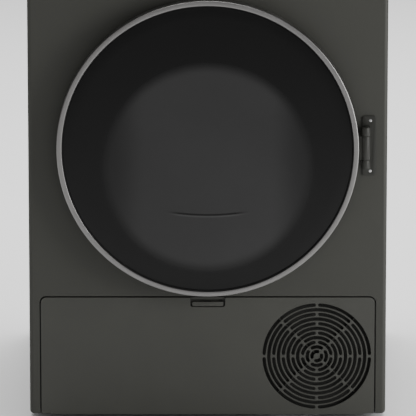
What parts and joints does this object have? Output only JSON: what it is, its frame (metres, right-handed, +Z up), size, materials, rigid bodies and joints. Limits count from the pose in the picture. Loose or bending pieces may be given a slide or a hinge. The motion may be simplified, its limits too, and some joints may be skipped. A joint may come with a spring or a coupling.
{
  "type": "clothes dryer",
  "caption": "Front-loading heat-pump clothes dryer with a round hinged door, turning drum, fold-down kick panel with a round grille, and a pull-out water tank.",
  "frame": {"origin": "centre of the whole dryer's footprint box, on the floor under the feet", "axes": "+Z up, the door faces -Y, +X to the right as seen from the front"},
  "size_m": [0.595, 0.65, 0.85],
  "materials": {
    "cabinet_graphite": "satin",
    "side_graphite": "satin",
    "front_graphite": "satin",
    "galvanised": "brushed",
    "worktop_laminate": "satin",
    "fascia_plastic": "satin",
    "kick_plastic": "satin",
    "base_plastic": "matte",
    "duct_plastic": "matte",
    "ring_metal": "satin",
    "smoked_glass": "polished",
    "bowl_glass": "polished",
    "display_glass": "polished",
    "door_black": "matte",
    "seal_rubber": "matte",
    "felt": "felted",
    "steel": "brushed",
    "drum_steel": "brushed",
    "lifter_plastic": "satin",
    "fin_aluminium": "satin",
    "copper": "satin",
    "compressor_black": "satin",
    "motor_steel": "satin",
    "fan_plastic": "matte",
    "belt_rubber": "matte",
    "tank_plastic": "satin",
    "pump_plastic": "matte",
    "lever_plastic": "satin",
    "knob_metal": "brushed",
    "button_metal": "satin",
    "filter_plastic": "satin",
    "board_green": "satin",
    "foot_rubber": "matte"
  },
  "bodies": {
    "cabinet": {"base_tray": "base_plastic", "side_panel_left": "side_graphite", "side_panel_right": "side_graphite", "rear_panel": "galvanised", "rear_duct_cover": "galvanised", "worktop": "worktop_laminate", "front_panel": "front_graphite", "control_fascia": "fascia_plastic", "display_window": "display_glass", "control_board": "board_green", "bulkhead": "duct_plastic", "door_seal": "seal_rubber", "felt_seals": "felt", "rear_bearing": "steel", "exchanger_housing": "duct_plastic", "exchanger_cover": "duct_plastic", "heat_exchangers": "fin_aluminium", "compressor": "compressor_black", "compressor_grommets": "seal_rubber", "refrigerant_pipes": "copper", "motor_body": "motor_steel", "fan_housing": "duct_plastic", "drain_pump": "pump_plastic", "drain_hose": "seal_rubber", "tank_sleeve": "duct_plastic", "mains_inlet": "base_plastic", "door_lock": "base_plastic", "hinge_bracket": "cabinet_graphite", "drive_belt": "belt_rubber", "screws": "steel", "cooling_fan_frame": "fan_plastic"},
    "door": {"door_ring": "ring_metal", "door_glass": "smoked_glass", "door_frame": "door_black", "door_bowl": "bowl_glass", "door_hook": "steel", "door_hinge_leaf": "cabinet_graphite"},
    "drum": {"drum_shell": "drum_steel", "drum_rear_wall": "drum_steel", "drum_lifters": "lifter_plastic", "drum_shaft": "steel"},
    "rotor": {"motor_rotor": "steel", "process_fan": "fan_plastic"},
    "roller_left": {"roller_left": "tank_plastic"},
    "roller_right": {"roller_right": "tank_plastic"},
    "cooling_fan": {"cooling_fan": "fan_plastic"},
    "kick_panel": {"kick_panel": "kick_plastic"},
    "kick_latch": {"kick_latch": "kick_plastic"},
    "lever_left": {"lever_left": "lever_plastic"},
    "lever_right": {"lever_right": "lever_plastic"},
    "water_tank": {"tank_body": "tank_plastic", "tank_front": "fascia_plastic"},
    "programme_knob": {"programme_knob": "knob_metal"},
    "power_button": {"power_button": "button_metal"},
    "start_button": {"start_button": "button_metal"},
    "lint_filter": {"lint_filter": "filter_plastic"},
    "foot_front_left": {"foot_front_left": "foot_rubber"},
    "foot_front_right": {"foot_front_right": "foot_rubber"},
    "foot_rear_left": {"foot_rear_left": "foot_rubber"},
    "foot_rear_right": {"foot_rear_right": "foot_rubber"}
  },
  "joints": [
    {"name": "door_hinge", "type": "hinge", "parent": "cabinet", "child": "door", "pos_m": [0.261, -0.308, 0.471], "axis": [0, 0, 1], "range_deg": [0, 165]},
    {"name": "drum_spin", "type": "hinge", "parent": "cabinet", "child": "drum", "pos_m": [0, 0, 0.479], "axis": [0, 1, 0], "continuous": true},
    {"name": "rotor_spin", "type": "hinge", "parent": "cabinet", "child": "rotor", "pos_m": [0.06, 0, 0.1], "axis": [0, 1, 0], "continuous": true},
    {"name": "roller_left_spin", "type": "hinge", "parent": "cabinet", "child": "roller_left", "pos_m": [-0.14375, 0, 0.23002], "axis": [0, 1, 0], "continuous": true},
    {"name": "roller_right_spin", "type": "hinge", "parent": "cabinet", "child": "roller_right", "pos_m": [0.14375, 0, 0.23002], "axis": [0, 1, 0], "continuous": true},
    {"name": "cooling_fan_spin", "type": "hinge", "parent": "cabinet", "child": "cooling_fan", "pos_m": [0.1805, 0, 0.111], "axis": [0, 1, 0], "continuous": true},
    {"name": "kick_panel_hinge", "type": "hinge", "parent": "cabinet", "child": "kick_panel", "pos_m": [0, -0.278, 0.024], "axis": [1, 0, 0], "range_deg": [0, 90]},
    {"name": "kick_latch_push", "type": "slide", "parent": "kick_panel", "child": "kick_latch", "axis": [0, 1, 0], "range_m": [0, 0.004], "stiffness_N_per_m": 900, "springref_m": -0.001},
    {"name": "lever_left_turn", "type": "hinge", "parent": "cabinet", "child": "lever_left", "pos_m": [-0.261, 0, 0.1185], "axis": [0, 1, 0], "range_deg": [0, 90]},
    {"name": "lever_right_turn", "type": "hinge", "parent": "cabinet", "child": "lever_right", "pos_m": [-0.114, 0, 0.1185], "axis": [0, 1, 0], "range_deg": [-90, 0]},
    {"name": "water_tank_slide", "type": "slide", "parent": "cabinet", "child": "water_tank", "axis": [0, -1, 0], "range_m": [0, 0.4]},
    {"name": "programme_knob_turn", "type": "hinge", "parent": "cabinet", "child": "programme_knob", "pos_m": [-0.03, 0, 0.7805], "axis": [0, 1, 0], "continuous": true},
    {"name": "power_button_press", "type": "slide", "parent": "cabinet", "child": "power_button", "axis": [0, 1, 0], "range_m": [0, 0.0015], "stiffness_N_per_m": 1200, "springref_m": -0.001},
    {"name": "start_button_press", "type": "slide", "parent": "cabinet", "child": "start_button", "axis": [0, 1, 0], "range_m": [0, 0.0015], "stiffness_N_per_m": 1200, "springref_m": -0.001},
    {"name": "lint_filter_slide", "type": "slide", "parent": "cabinet", "child": "lint_filter", "axis": [0, 0, 1], "range_m": [0, 0.07]},
    {"name": "foot_front_left_screw", "type": "slide", "parent": "cabinet", "child": "foot_front_left", "axis": [0, 0, -1], "range_m": [0, 0.012]},
    {"name": "foot_front_right_screw", "type": "slide", "parent": "cabinet", "child": "foot_front_right", "axis": [0, 0, -1], "range_m": [0, 0.012]},
    {"name": "foot_rear_left_screw", "type": "slide", "parent": "cabinet", "child": "foot_rear_left", "axis": [0, 0, -1], "range_m": [0, 0.012]},
    {"name": "foot_rear_right_screw", "type": "slide", "parent": "cabinet", "child": "foot_rear_right", "axis": [0, 0, -1], "range_m": [0, 0.012]}
  ],
  "couplings": [
    {"joint": "rotor_spin", "follows": "drum_spin", "ratio": 28.03},
    {"joint": "roller_left_spin", "follows": "drum_spin", "ratio": -10.967},
    {"joint": "roller_right_spin", "follows": "drum_spin", "ratio": -10.967}
  ]
}
